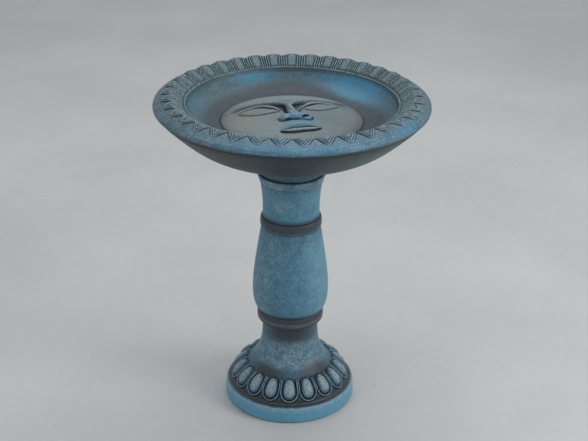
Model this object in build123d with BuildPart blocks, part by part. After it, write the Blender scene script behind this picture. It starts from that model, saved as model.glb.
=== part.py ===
"""Bird bath: a two-skin basin with a relief face, locked by a bayonet onto a hollow pedestal.

Millimetres. +Z is up, the floor is Z = 0 and the axis of revolution is the Z axis.
The chin of the relief face points along -Y.
"""
import math
import os

from build123d import *

# Overall size
HEIGHT = 700.0
RIM_RADIUS = 280.0
FOOT_LIFT = 2.0  # the casting stands this far off the floor, on its pads

# Ornament
PETALS = 37
PETAL_RAISE = 3.4
EGGS = 18
EGG_RAISE = 2.5
EGG_SEAT = (111.0, 66.0)  # radius and level of the middle of an egg
EGG_TOP = (17.0, 24.0)  # half width and place up the slope of its open end
EGG_SIDE = (19.0, -4.0)
EGG_LOW = -26.0
EGG_SIZE = (20.0, 11.5)  # half length and radius of the boss
EGG_SINK = 6.5
BORDER = 4.6
BORDER_REACH = 14.0

# Levels up the pedestal
PLINTH_TOP = 36.5
OVOLO_TOP = 82.5
LOWER_BAND = (189.0, 214.0)
UPPER_BAND = (409.0, 430.5)
COLLAR_FOOT = 512.0
PEDESTAL_TOP = 528.0

# Levels up the basin
BASIN_FOOT = 530.0
SHELL_FLOOR = 560.0
LIP_UNDERSIDE = 672.0
CREST = HEIGHT - PETAL_RAISE
BEAD_LEVEL = 678.5
FACE_EDGE = 641.5
FACE_DOME = 20.0  # rise of the disc from its edge to its centre
PAN_UNDERSIDE = 633.0
PAN_HOLLOW = 17.0  # rise of the hollow under the disc

# Radii of the basin
FOOT_RING_RADIUS = 66.0
CREST_RADIUS = 248.0
BEAD_RADIUS = 216.5
BEAD_HALF_WIDTH = 2.5
BEAD_RISE = 3.0
FACE_RADIUS = 146.0
PETAL_INNER = 221.0
PETAL_BELLY = 243.0
PETAL_SHOULDER = 258.5
PETAL_TIP = 266.0
PETAL_GAP = 0.35  # degrees between a petal's side and the middle of the gap
PETAL_CUT = (660.0, 50.0)  # level and height of the plan shapes of the petals, before they are trimmed

# Relief face: half length and radius of each swelling
NOSE_BRIDGE = (52.0, 13.0)
NOSE_TIP = (15.0, 13.0)
NOSE_WING = (12.0, 10.0)
UPPER_LIP = (43.0, 9.0)
LOWER_LIP = (39.0, 7.0)
EYE = (42.0, 17.0)
BROW_RADIUS = 5.5

# Underside of the pedestal
PLATE_RADIUS = 112.0
PLATE_THICK = 6.0
PLATE_SHELF = 100.0
PLATE_GAP = 0.2
FILL_HOLE = 17.3
PLUG_RECESS = 22.6
PLUG_RECESS_DEPTH = 2.6
PLUG_GAP = 0.3
PLUG_LENGTH = 14.0
PLUG_CHAMFER = 1.5
GRIP_SLOT = (22.0, 8.0)
GRIP_OFFSET = 8.0
GRIP_DEPTH = 5.0
PAD_RADIUS = 10.0
PAD_RING = 125.5
PAD_THICK = 4.0

# Seat ring between the pedestal and the basin
SEAT_INNER = 57.5
SEAT_OUTER = 66.0
SEAT_BOTTOM = 526.3
SEAT_TOP = 529.7
SEAT_CLEARANCE = 0.3
SEAT_FILLET = 0.8

# Bayonet lock
LUGS = 3
LUG_HALF_ANGLE = 14.0
SLOT_HALF_ANGLE = 18.0
LOCK_TURN = 30.0
LUG_RADIUS = 35.6
TUBE_RADIUS = 29.5
TUBE_BORE = 24.0
SOCKET_BORE = 30.0
SOCKET_CHAMBER = 36.2
SOCKET_BARREL = 40.0
SOCKET_FLANGE = 50.0
FLANGE_THICK = 6.0
SOCKET_TOP = 526.0
SOCKET_BOTTOM = 494.0
CHAMBER = (497.0, 511.0)
LUG_LEVEL = (500.0, 506.0)
SPIGOT_FLANGE = 47.6
SPIGOT_SEAT = 540.0
RECESS_RADIUS = 48.0
BARREL_GAP = 0.3
FLANGE_GAP = 0.2
SOCKET_SEAT = SOCKET_TOP - FLANGE_THICK

# Screws
SCREW_SHANK = 2.0
SCREW_HEAD = 3.8
SCREW_CSK = 2.0
SCREW_LENGTH = 16.0
SHANK_GAP = 0.05
HOLE_SPARE = 1.0
SOCKET_SCREW_RING = 45.0
SPIGOT_SCREW_RING = 41.0
PLATE_SCREW_RING = 106.0

os.makedirs("parts", exist_ok=True)


def section(points):
    """Half section through the Z axis from a closed list of (radius, height) points."""
    with BuildSketch(Plane.XZ) as sketch:
        with BuildLine():
            Polyline(*points, close=True)
        make_face()
    return sketch.sketch


def ring_of(count, radius, first=0.0):
    """Plan positions spaced evenly round a circle."""
    steps = [math.radians(first + 360.0 * i / count) for i in range(count)]
    return [(radius * math.cos(a), radius * math.sin(a)) for a in steps]


def discs(spots, radius, level):
    """Circles of one radius at several plan positions."""
    with BuildSketch(Plane.XY.offset(level)) as sketch:
        with Locations(*spots):
            Circle(radius)
    return sketch.sketch


def screw_holes(spots, level, depth, up=True):
    """Pilot holes for screws, from a level upwards or downwards."""
    holes = discs(spots, SCREW_SHANK + SHANK_GAP, level)
    extrude(holes, amount=depth if up else -depth, mode=Mode.SUBTRACT)


def countersinks(spots, face, up=True):
    """Conical seats for flat-head screws, opening at a face."""
    narrow = SCREW_SHANK + SHANK_GAP
    wide = SCREW_HEAD + SHANK_GAP
    below = (Align.CENTER, Align.CENTER, Align.MAX)
    with Locations(*[Location((x, y, face), (180 if up else 0, 0, 0)) for x, y in spots]):
        Cone(narrow, wide, SCREW_CSK, align=below, mode=Mode.SUBTRACT)


def flat_head_screws(spots, face, up=True):
    """Screws whose flat heads lie in a face; the shanks point up or down from it."""
    below = (Align.CENTER, Align.CENTER, Align.MAX)
    with Locations(*[Location((x, y, face), (180 if up else 0, 0, 0)) for x, y in spots]):
        Cone(SCREW_SHANK, SCREW_HEAD, SCREW_CSK, align=below)
        Cylinder(SCREW_SHANK, SCREW_LENGTH, align=below)


def write(part, name):
    """Label a finished sub-part and write it as STEP."""
    part.label = name
    export_step(part, f"parts/{name}.step")


# ---------------------------------------------------------------- pedestal

def egg_plane(angle):
    """Plane square to the slope of the ovolo, its X axis round the foot, its Y axis up it."""
    turn = math.radians(angle)
    outward = Vector(math.cos(turn), math.sin(turn), 0)
    normal = (outward + Vector(0, 0, 1)).normalized()
    middle = outward * EGG_SEAT[0] + Vector(0, 0, EGG_SEAT[1])
    return Plane(origin=middle, x_dir=Vector(-math.sin(turn), math.cos(turn), 0), z_dir=normal)


def egg_outline(inset):
    """U-shaped edges round one egg, open at the top of the ovolo."""
    top = (EGG_TOP[0] - inset, EGG_TOP[1] + inset)
    side = (EGG_SIDE[0] - inset, EGG_SIDE[1])
    low = EGG_LOW + inset
    Line((-top[0], top[1]), top)
    Line(top, side)
    EllipticalCenterArc((0, side[1]), side[0], side[1] - low, start_angle=180, arc_size=180)
    Line((-side[0], side[1]), (-top[0], top[1]))


def egg_border(angle):
    """The raised U-shaped border of one egg, on the slope of the ovolo."""
    with BuildSketch(egg_plane(angle)) as sketch:
        with BuildLine():
            egg_outline(0.0)
        make_face()
        with BuildLine():
            egg_outline(BORDER)
        make_face(mode=Mode.SUBTRACT)
    return sketch.sketch


def ovolo(raised):
    """The quarter-round moulding of the foot, as (radius, height) points."""
    points = [(94.0, OVOLO_TOP), (104.0, 77.0), (113.0, 69.5), (120.0, 61.0), (125.0, 52.0), (128.0, 44.0)]
    drop = EGG_RAISE - raised
    return [(r - 0.7 * drop, z - 0.7 * drop) for r, z in points]


def pedestal_outline():
    """Outside of the column from the floor to the collar, as (radius, height) points."""
    plinth = [(0, FOOT_LIFT), (138.5, FOOT_LIFT), (140.6, 4.0), (140.6, 20.0), (139.6, 31.0)]
    ledge = [(137.6, PLINTH_TOP), (134.0, 38.0), (127.0, 40.0)]
    cavetto = [(88, 85), (81, 93), (75, 102), (70, 111), (66, 121), (63, 132), (61, 144), (60, 160)]
    neck = [(59.5, 175), (59.5, LOWER_BAND[0])]
    return plinth + ledge + list(reversed(ovolo(0))) + cavetto + neck


def band(level, radius):
    """A rounded band round the column, as (radius, height) points."""
    low, high = level
    tall = high - low
    shape = [(-2.0, 0.0), (-0.3, 0.16), (0.0, 0.45), (-0.3, 0.8), (-2.0, 1.0)]
    return [(radius + dr, low + tall * dz) for dr, dz in shape]


def column_outline():
    """Belly, bands, upper neck and collar above the foot, as (radius, height) points."""
    belly = [
        (70.5, 216), (74.5, 222), (77.5, 230), (79.6, 240), (80.8, 253), (80.8, 268), (79.6, 290),
        (77.2, 312), (73.8, 337), (69.6, 365), (65.2, 392), (62.4, 408),
    ]
    upper = [(60.4, 432), (59.6, 445), (59.5, 458), (60.2, 472), (62.0, 490), (65.0, 510)]
    collar = [(66.0, COLLAR_FOOT), (68.0, 518), (70.6, 524), (71.4, 526.5), (70.6, PEDESTAL_TOP)]
    return band(LOWER_BAND, 71.0) + belly + band(UPPER_BAND, 64.8) + upper + collar


def cavity_outline():
    """Hollow inside of the casting, as (radius, height) points."""
    foot = [(0, FOOT_LIFT), (PLATE_RADIUS, FOOT_LIFT), (PLATE_RADIUS, FOOT_LIFT + PLATE_THICK)]
    plate_top = FOOT_LIFT + PLATE_THICK
    shelf = [(PLATE_SHELF, plate_top), (PLATE_SHELF, 45), (92, 62), (76, 72), (62, 88), (52, 112)]
    column = [(47, 150), (47, 205), (58, 228), (66, 252), (66, 268), (62, 320), (52, 385), (48, 420)]
    barrel = SOCKET_BARREL + BARREL_GAP
    flange = SOCKET_FLANGE + FLANGE_GAP
    top = [(47, 470), (barrel, 488), (barrel, SOCKET_SEAT)]
    mouth = [(flange, SOCKET_SEAT), (flange, PEDESTAL_TOP)]
    return foot + shelf + column + top + mouth + [(0, PEDESTAL_TOP)]


def spheroid(middle, direction, half_length, radius):
    """Ellipsoid of revolution, its long axis along a direction."""
    side = Vector(direction).cross(Vector(0, 0, 1))
    plane = Plane(origin=middle, x_dir=direction, z_dir=side)
    with BuildSketch(plane) as sketch:
        Ellipse(half_length, radius)
        Rectangle(3 * half_length, 3 * radius, align=(Align.CENTER, Align.MAX), mode=Mode.SUBTRACT)
    revolve(sketch.sketch, axis=Axis(middle, direction))


def egg(angle):
    """One egg: an ellipsoid boss standing on the ovolo, long axis up the slope."""
    place = egg_plane(angle)
    middle = place.from_local_coords(Vector(0, -1.5, -EGG_SINK))
    spheroid(middle, place.y_dir, *EGG_SIZE)


socket_spots = ring_of(3, SOCKET_SCREW_RING, 60.0)
plate_spots = ring_of(4, PLATE_SCREW_RING, 45.0)
pad_spots = ring_of(4, PAD_RING, 0.0)

with BuildPart() as pedestal:
    for number in range(EGGS):
        extrude(egg_border(360.0 * number / EGGS), amount=BORDER_REACH, both=True)
    raised = section(ovolo(EGG_RAISE) + list(reversed(ovolo(-3.0))))
    revolve(raised, axis=Axis.Z, mode=Mode.INTERSECT)
    for number in range(EGGS):
        egg(360.0 * number / EGGS)
    outline = pedestal_outline() + column_outline() + [(0, PEDESTAL_TOP)]
    revolve(section(outline), axis=Axis.Z)
    revolve(section(cavity_outline()), axis=Axis.Z, mode=Mode.SUBTRACT)
    groove_floor = SEAT_BOTTOM - SEAT_CLEARANCE
    inner = SEAT_INNER - SEAT_CLEARANCE
    outer = SEAT_OUTER + SEAT_CLEARANCE
    groove = [(inner, groove_floor), (outer, groove_floor), (outer, PEDESTAL_TOP), (inner, PEDESTAL_TOP)]
    revolve(section(groove), axis=Axis.Z, mode=Mode.SUBTRACT)
    screw_holes(socket_spots, SOCKET_SEAT, SCREW_LENGTH, up=False)
    screw_holes(plate_spots, FOOT_LIFT, SCREW_LENGTH + HOLE_SPARE)
    pockets = discs(pad_spots, PAD_RADIUS, FOOT_LIFT)
    extrude(pockets, amount=PAD_THICK - FOOT_LIFT, mode=Mode.SUBTRACT)
write(pedestal.part, "pedestal")

with BuildPart() as base_plate:
    with BuildSketch(Plane.XY.offset(FOOT_LIFT)):
        Circle(PLATE_RADIUS - PLATE_GAP)
        Circle(FILL_HOLE, mode=Mode.SUBTRACT)
    extrude(amount=PLATE_THICK)
    with BuildSketch(Plane.XY.offset(FOOT_LIFT)):
        Circle(PLUG_RECESS)
    extrude(amount=PLUG_RECESS_DEPTH, mode=Mode.SUBTRACT)
    screw_holes(plate_spots, FOOT_LIFT, PLATE_THICK)
    countersinks(plate_spots, FOOT_LIFT)
write(base_plate.part, "base_plate")

with BuildPart() as base_plate_screws:
    flat_head_screws(plate_spots, FOOT_LIFT)
write(base_plate_screws.part, "base_plate_screws")

with BuildPart() as ballast_plug:
    with BuildSketch(Plane.XY.offset(FOOT_LIFT)):
        Circle(PLUG_RECESS - 2 * PLUG_GAP)
    extrude(amount=PLUG_RECESS_DEPTH - PLUG_GAP)
    with BuildSketch(Plane.XY.offset(FOOT_LIFT)):
        Circle(FILL_HOLE - PLUG_GAP)
    extrude(amount=PLUG_LENGTH)
    chamfer(ballast_plug.edges().group_by(Axis.Z)[-1], PLUG_CHAMFER)
    with BuildSketch(Plane.XY.offset(FOOT_LIFT)):
        with Locations((0, GRIP_OFFSET), (0, -GRIP_OFFSET)):
            SlotOverall(*GRIP_SLOT)
    extrude(amount=GRIP_DEPTH, mode=Mode.SUBTRACT)
write(ballast_plug.part, "ballast_plug")

with BuildPart() as foot_pads:
    extrude(discs(pad_spots, PAD_RADIUS, 0), amount=PAD_THICK)
write(foot_pads.part, "foot_pads")

# ---------------------------------------------------------------- bayonet lock


def sector(level, radius, start, end):
    """Pie slice between two angles, in degrees."""
    with BuildSketch(Plane.XY.offset(level)) as sketch:
        with BuildLine():
            rim = CenterArc((0, 0), radius, start, end - start)
            Line((0, 0), rim @ 0)
            Line(rim @ 1, (0, 0))
        make_face()
    return sketch.sketch


with BuildPart() as lock_socket:
    with BuildSketch(Plane.XY.offset(SOCKET_BOTTOM)):
        Circle(SOCKET_BARREL)
    extrude(amount=SOCKET_TOP - SOCKET_BOTTOM)
    with BuildSketch(Plane.XY.offset(SOCKET_TOP - FLANGE_THICK)):
        Circle(SOCKET_FLANGE)
    extrude(amount=FLANGE_THICK)
    with BuildSketch(Plane.XY.offset(SOCKET_BOTTOM)):
        Circle(SOCKET_BORE)
    extrude(amount=SOCKET_TOP - SOCKET_BOTTOM, mode=Mode.SUBTRACT)
    for lug in range(LUGS):
        centre = 360.0 * lug / LUGS
        slot = sector(CHAMBER[0], SOCKET_CHAMBER, centre - SLOT_HALF_ANGLE, centre + SLOT_HALF_ANGLE)
        extrude(slot, amount=SOCKET_TOP - CHAMBER[0], mode=Mode.SUBTRACT)
        sweep_end = centre + SLOT_HALF_ANGLE + LOCK_TURN
        chamber = sector(CHAMBER[0], SOCKET_CHAMBER, centre, sweep_end)
        extrude(chamber, amount=CHAMBER[1] - CHAMBER[0], mode=Mode.SUBTRACT)
    screw_holes(socket_spots, SOCKET_TOP, FLANGE_THICK, up=False)
    countersinks(socket_spots, SOCKET_TOP, up=False)
write(lock_socket.part, "lock_socket")

with BuildPart() as socket_screws:
    flat_head_screws(socket_spots, SOCKET_TOP, up=False)
write(socket_screws.part, "socket_screws")

spigot_spots = ring_of(3, SPIGOT_SCREW_RING, 60.0)
spigot_face = SPIGOT_SEAT - FLANGE_THICK

with BuildPart() as lock_spigot:
    with BuildSketch(Plane.XY.offset(spigot_face)):
        Circle(SPIGOT_FLANGE)
    extrude(amount=FLANGE_THICK)
    with BuildSketch(Plane.XY.offset(LUG_LEVEL[0])):
        Circle(TUBE_RADIUS)
    extrude(amount=spigot_face - LUG_LEVEL[0])
    for lug in range(LUGS):
        centre = 360.0 * lug / LUGS
        wedge = sector(LUG_LEVEL[0], LUG_RADIUS, centre - LUG_HALF_ANGLE, centre + LUG_HALF_ANGLE)
        extrude(wedge, amount=LUG_LEVEL[1] - LUG_LEVEL[0])
    with BuildSketch(Plane.XY.offset(LUG_LEVEL[0])):
        Circle(TUBE_BORE)
    extrude(amount=SPIGOT_SEAT - LUG_LEVEL[0], mode=Mode.SUBTRACT)
    screw_holes(spigot_spots, spigot_face, FLANGE_THICK)
    countersinks(spigot_spots, spigot_face)
write(lock_spigot.part, "lock_spigot")

with BuildPart() as spigot_screws:
    flat_head_screws(spigot_spots, spigot_face)
write(spigot_screws.part, "spigot_screws")

with BuildPart() as seat_ring:
    with BuildSketch(Plane.XY.offset(SEAT_BOTTOM)):
        Circle(SEAT_OUTER)
        Circle(SEAT_INNER, mode=Mode.SUBTRACT)
    extrude(amount=SEAT_TOP - SEAT_BOTTOM)
    fillet(seat_ring.edges(), SEAT_FILLET)
write(seat_ring.part, "seat_ring")

# ---------------------------------------------------------------- basin

with BuildPart() as basin_shell:
    with BuildSketch(Plane.XZ):
        with BuildLine():
            Bezier((80, 549.7), (187.2, 605.2), (179.2, 572.6), (272, 666))
            Line((272, 666), (272.5, LIP_UNDERSIDE))
            Line((272.5, LIP_UNDERSIDE), (261, LIP_UNDERSIDE))
            Line((261, LIP_UNDERSIDE), (261, 668))
            Bezier((261, 668), (176, 583), (183, 614), (76, SHELL_FLOOR + 3))
            Line((76, SHELL_FLOOR + 3), (60, SHELL_FLOOR))
            Polyline((60, SHELL_FLOOR), (0, SHELL_FLOOR), (0, SPIGOT_SEAT), (RECESS_RADIUS, SPIGOT_SEAT))
            Line((RECESS_RADIUS, SPIGOT_SEAT), (RECESS_RADIUS, BASIN_FOOT))
            Line((RECESS_RADIUS, BASIN_FOOT), (FOOT_RING_RADIUS, BASIN_FOOT))
            Line((FOOT_RING_RADIUS, BASIN_FOOT), (FOOT_RING_RADIUS, 543))
            Bezier((FOOT_RING_RADIUS, 543), (FOOT_RING_RADIUS, 546), (72, 546), (80, 549.7))
        make_face()
    revolve(axis=Axis.Z)
    screw_holes(spigot_spots, SPIGOT_SEAT, SCREW_LENGTH - FLANGE_THICK + HOLE_SPARE)
write(basin_shell.part, "basin_shell")


def rim_top(raised):
    """Upper surface of the rim from the bead out to the lip, lifted by an amount."""
    points = [(220.0, 680.8), (226.0, 684.6), (235.0, 689.8), (242.5, 694.6), (CREST_RADIUS, CREST)]
    points += [(253.0, 695.6), (258.0, 694.0), (265.7, 690.6), (272.3, 686.4)]
    return [(r, z + raised) for r, z in points]


def petal_outline(angle):
    """Edges of one tongue in plan: straight sides running outwards and a rounded outer end."""
    half = math.tan(math.radians(180.0 / PETALS - PETAL_GAP))
    turn = math.radians(angle)
    along = Vector(math.cos(turn), math.sin(turn))
    across = Vector(-math.sin(turn), math.cos(turn))
    end = [(PETAL_BELLY, 1), (PETAL_SHOULDER, 1), (PETAL_TIP, 0.45)]
    corners = []
    for radius, swing in [(PETAL_INNER, -1), (PETAL_INNER, 1)] + end + [(PETAL_TIP, 0)]:
        corners.append(along * radius + across * (radius * half * swing))
    mirrored = [along * radius - across * (radius * half * swing) for radius, swing in reversed(end)]
    Polyline(*corners[:3])
    Bezier(*corners[2:])
    Bezier(corners[5], *mirrored)
    Line(mirrored[2], corners[0])


def under_disc():
    """Domed underside of the disc, from the axis out to its edge."""
    middle = (FACE_RADIUS / 2, PAN_UNDERSIDE + 0.75 * PAN_HOLLOW)
    ThreePointArc((0, PAN_UNDERSIDE + PAN_HOLLOW), middle, (FACE_RADIUS, PAN_UNDERSIDE))


def face_relief():
    """Nose, lips and eyes: swellings with a middle, a half length along one axis and a radius."""
    across = (1, 0, 0)
    down = (0, 1, 0)
    spheroid((-2, -8, 654), down, *NOSE_BRIDGE)
    spheroid((-2, -54, 660), across, *NOSE_TIP)
    spheroid((2, -83, 656), across, *UPPER_LIP)
    spheroid((0, -96, 653.5), across, *LOWER_LIP)
    for side in (-1, 1):
        spheroid((side * 23 - 1, -53, 658), down, *NOSE_WING)
        spheroid((side * 64, 18, 642.5), across, *EYE)


def brow(side):
    """The arched ridge over one eye."""
    with BuildLine() as arch:
        ThreePointArc((side * 10, 48, 655.5), (side * 62, 76, 649.5), (side * 115, 58, 643))
    with BuildSketch(Plane(origin=arch.line @ 0, z_dir=arch.line % 0)) as bead:
        Circle(BROW_RADIUS)
    return bead.sketch, arch.line


bead_outside = (BEAD_RADIUS + BEAD_HALF_WIDTH, BEAD_LEVEL + BEAD_RISE / 2)
bead_inside = (BEAD_RADIUS - BEAD_HALF_WIDTH, BEAD_LEVEL)
lip_edge = (RIM_RADIUS, 677.5)
half_way = (FACE_RADIUS / 2, FACE_EDGE + 0.75 * FACE_DOME)
face_middle = (0, FACE_EDGE + FACE_DOME)

with BuildPart() as basin_pan:
    with BuildSketch(Plane.XY.offset(PETAL_CUT[0])):
        for number in range(PETALS):
            with BuildLine():
                petal_outline(-90.0 + 360.0 * (number + 0.5) / PETALS)
            make_face()
    extrude(amount=PETAL_CUT[1])
    tongues = section(rim_top(PETAL_RAISE) + list(reversed(rim_top(-2.0))))
    revolve(tongues, axis=Axis.Z, mode=Mode.INTERSECT)
    with BuildSketch(Plane.XZ):
        with BuildLine():
            under_disc()
            Polyline((FACE_RADIUS, PAN_UNDERSIDE), (166, 637), (186, 644.5), (201, 653.5), (214, 666))
            Polyline((214, 666), (228, 677), (238, 683.5), (246, 688), (252, 684), (257, 676))
            Polyline((257, 676), (262, LIP_UNDERSIDE), (275.5, LIP_UNDERSIDE), (278.5, 674), lip_edge)
            Bezier(lip_edge, (RIM_RADIUS, 682.5), (276.6, 684.4), rim_top(0)[-1])
            Spline(*reversed(rim_top(0)[4:]))
            Polyline(*reversed(rim_top(0)[:5]))
            Line(rim_top(0)[0], bead_outside)
            ThreePointArc(bead_outside, (BEAD_RADIUS, BEAD_LEVEL + BEAD_RISE), bead_inside)
            Spline(bead_inside, (208, 668.5), (196, 656.5), (176, 646.5), (151, 641))
            Polyline((151, 641), (147, 640.5), (FACE_RADIUS, FACE_EDGE))
            ThreePointArc((FACE_RADIUS, FACE_EDGE), half_way, face_middle)
            Line(face_middle, (0, PAN_UNDERSIDE + PAN_HOLLOW))
        make_face()
    revolve(axis=Axis.Z)
    face_relief()
    for side in (-1, 1):
        bead, arch = brow(side)
        sweep(bead, path=arch)
    with BuildSketch(Plane.XZ):
        with BuildLine():
            under_disc()
            Polyline((FACE_RADIUS, PAN_UNDERSIDE), (FACE_RADIUS, SHELL_FLOOR), (0, SHELL_FLOOR))
            Line((0, SHELL_FLOOR), (0, PAN_UNDERSIDE + PAN_HOLLOW))
        make_face()
    revolve(axis=Axis.Z, mode=Mode.SUBTRACT)
write(basin_pan.part, "basin_pan")
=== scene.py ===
"""Bird bath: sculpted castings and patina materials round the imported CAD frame. Metres, +Z up."""
import math

import bpy
import numpy as np
from mathutils import Matrix, Vector


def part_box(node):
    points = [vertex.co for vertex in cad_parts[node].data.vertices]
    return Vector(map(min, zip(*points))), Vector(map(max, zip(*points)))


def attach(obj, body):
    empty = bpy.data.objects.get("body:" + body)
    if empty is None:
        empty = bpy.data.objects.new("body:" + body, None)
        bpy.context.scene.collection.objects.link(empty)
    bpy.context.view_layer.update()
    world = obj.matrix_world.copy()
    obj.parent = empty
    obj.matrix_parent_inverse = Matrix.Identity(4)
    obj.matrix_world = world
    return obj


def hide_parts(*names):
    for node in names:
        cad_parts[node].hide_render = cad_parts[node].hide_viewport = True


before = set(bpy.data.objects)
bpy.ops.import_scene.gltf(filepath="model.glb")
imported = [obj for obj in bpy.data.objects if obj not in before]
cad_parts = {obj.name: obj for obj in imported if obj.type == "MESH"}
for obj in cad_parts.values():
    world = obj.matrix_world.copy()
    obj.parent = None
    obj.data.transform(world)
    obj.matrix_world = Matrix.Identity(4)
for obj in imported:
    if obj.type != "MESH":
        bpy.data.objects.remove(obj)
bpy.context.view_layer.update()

MM = 0.001

# ------------------------------------------------------------------ sizes from the frame, in mm

def corners_of(node):
    """Lowest and highest corner of the box round a CAD node."""
    return [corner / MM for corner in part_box(node)]


PEDESTAL_LOW, PEDESTAL_HIGH = corners_of("pedestal")
SEAT_LOW, SEAT_HIGH = corners_of("seat_ring")
PLATE_HIGH = corners_of("base_plate")[1]
SOCKET_HIGH = corners_of("lock_socket")[1]
SPIGOT_HIGH = corners_of("lock_spigot")[1]

FOOT_BOTTOM = PEDESTAL_LOW.z
COLLAR_TOP = PEDESTAL_HIGH.z

# ------------------------------------------------------------------ driving sizes, in mm

STANDING_EDGE = (136.5, 138.6)  # two radii at the edge of the standing face, under the plinth
FITTING_GAP = 0.2  # round the base plate and the flange of the socket
SEAT_GAP = 0.3
SEAT_WIDTH = 8.8  # of the groove for the seat ring
SOCKET_BORE = 40.3  # radius of the hole for the socket's barrel
SOCKET_FLANGE = 6.0
SOCKET_SHOULDER = 488.0  # level where that hole opens into the hollow

EGGS = 18
EGG_LENGTH = 53.0  # of one repeat, down the ovolo
EGG_SHOULDER = 27.0  # where the sides of a border start to close in
EGG_BORDER_LENGTH = 51.5
EGG_BORDER_WIDTH = 6.0
EGG_BORDER_RAISE = 3.0
EGG_MIDDLE = 24.0
EGG_REACH = (25.5, 21.5)  # from the middle of an egg up to its blunt top and down to its round foot
EGG_RAISE = 7.0

PETALS = 37
PETAL_LENGTH = 54.0  # from the bead outwards, over the crest of the rim
PETAL_SHOULDER = 26.5  # where the sides of a petal start to close in
PETAL_SINK = 43.0  # where its tip starts to sink into the lip
PETAL_RIDGES = (2.0, 7.2)  # double outline of a petal, from its edge inwards
PETAL_GROOVES = (4.7, 9.8)

BASIN_FOOT = 530.0  # levels of the basin's standing face, its recess, floor and lip
SPIGOT_SEAT = 540.0
SHELL_FLOOR = 560.0
LIP_UNDERSIDE = 672.0
SPIGOT_RECESS = 48.0  # radius
AXIS_GAP = 0.5  # radius of the pinhole that keeps the shell's floor a ring of quads

FACE_RADIUS = 146.0
FACE_EDGE = 641.5  # level of the disc's edge
FACE_DOME = 20.0  # rise of the disc from its edge to its centre
FACE_SKIRT = 638.5  # bottom of the relief disc
EYE_HALF = 42.5  # half length of an eye
MOUTH_HALF = 42.5
NOSE_MIDDLE = -0.8  # how far the nose sits to one side
NOSE_TIP = (-1.0, -45.5)
NOSE_TIP_HALF = (19.0, 12.5)  # half width and half height
NOSE_RAISE = 12.0
NOSTRIL = (18.5, -55.6)  # distance from the middle, and level
NOSTRIL_HALF = (8.0, 1.6)

SHARP_ANGLE = 38.0  # degrees between faces, above which an edge shows as a crease

# columns of vertices round each lathed piece, and rows and columns of the relief disc
PEDESTAL_COLUMNS = EGGS * 44
PAN_COLUMNS = PETALS * 40
SHELL_COLUMNS = 288
FACE_GRID = 361


# ------------------------------------------------------------------ shape helpers

def smoothstep(value, low, high):
    """0 below low, 1 above high, and a smooth climb between."""
    t = np.clip((value - low) / (high - low), 0.0, 1.0)
    return t * t * (3.0 - 2.0 * t)


def bell(value, width):
    """A rounded bump of height 1 and half-width width."""
    return np.where(np.abs(value) < width, 0.5 + 0.5 * np.cos(np.pi * value / width), 0.0)


def hump(dx, dy, wide, tall):
    """A soft round swelling of height 1."""
    return np.exp(-0.5 * ((dx / wide) ** 2 + (dy / tall) ** 2))


def polyline(points, step):
    """Points along straight runs, no further apart than step, corners kept."""
    out = []
    for a, b in zip(points[:-1], points[1:]):
        count = max(1, math.ceil(math.dist(a, b) / step))
        shares = [i / count for i in range(count)]
        out += [(a[0] + (b[0] - a[0]) * t, a[1] + (b[1] - a[1]) * t) for t in shares]
    return out + [points[-1]]


def lengths_along(profile):
    """Distance of each point of a profile from its first point, along the outline."""
    return np.concatenate([[0], np.cumsum(np.linalg.norm(np.diff(profile, axis=0), axis=1))])


def curve(points, step):
    """A smooth (Catmull-Rom) curve through points, sampled about every step."""
    knots = [np.array(p, float) for p in points]
    knots = [2 * knots[0] - knots[1]] + knots + [2 * knots[-1] - knots[-2]]
    fine = []
    for p0, p1, p2, p3 in zip(knots[:-3], knots[1:-2], knots[2:-1], knots[3:]):
        for t in np.linspace(0, 1, 24, endpoint=False):
            a = 2 * p1 + (p2 - p0) * t
            b = (2 * p0 - 5 * p1 + 4 * p2 - p3) * t * t
            fine.append(0.5 * (a + b + (3 * p1 - p0 - 3 * p2 + p3) * t**3))
    fine.append(knots[-2])
    fine = np.array(fine)
    along = lengths_along(fine)
    at = np.linspace(0, along[-1], max(2, math.ceil(along[-1] / step) + 1))
    return list(zip(np.interp(at, along, fine[:, 0]), np.interp(at, along, fine[:, 1])))


def joined(*runs):
    """One profile from several runs, with shared end points dropped."""
    out = list(runs[0])
    for run in runs[1:]:
        run = list(run)
        out += run[1:] if math.dist(out[-1], run[0]) < 1e-6 else run
    return np.array(out)


def normals_of(profile):
    """Unit normals of a (radius, height) profile, pointing out of the body."""
    ahead = np.roll(profile, -1, axis=0) - np.roll(profile, 1, axis=0)
    ahead[0] = profile[1] - profile[0]
    ahead[-1] = profile[-1] - profile[-2]
    ahead /= np.maximum(np.linalg.norm(ahead, axis=1, keepdims=True), 1e-9)
    return np.stack([ahead[:, 1], -ahead[:, 0]], axis=1)


def blurred(field, rows, columns):
    """Box blur of a field that wraps round its columns."""
    out = field.copy()
    for shift in range(1, columns + 1):
        out = out + np.roll(field, shift, axis=1) + np.roll(field, -shift, axis=1)
    out /= 2 * columns + 1
    padded = np.pad(out, ((rows, rows), (0, 0)), mode="edge")
    total = sum(padded[i : i + len(field)] for i in range(2 * rows + 1))
    return total / (2 * rows + 1)


def blurred_plain(field, reach):
    """Box blur of a field that doesn't wrap."""
    padded = np.pad(field, reach, mode="edge")
    size = 2 * reach + 1
    rows = sum(padded[i : i + len(field)] for i in range(size)) / size
    return sum(rows[:, i : i + field.shape[1]] for i in range(size)) / size


def hollows(relief, rows, columns, depth):
    """Shares of hollow and of edge wear in a relief, from how far it lies off its own average."""
    off = (blurred(relief, rows, columns) - relief) / depth
    return np.clip(off, 0, 1), np.clip(-off, 0, 1)


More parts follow.
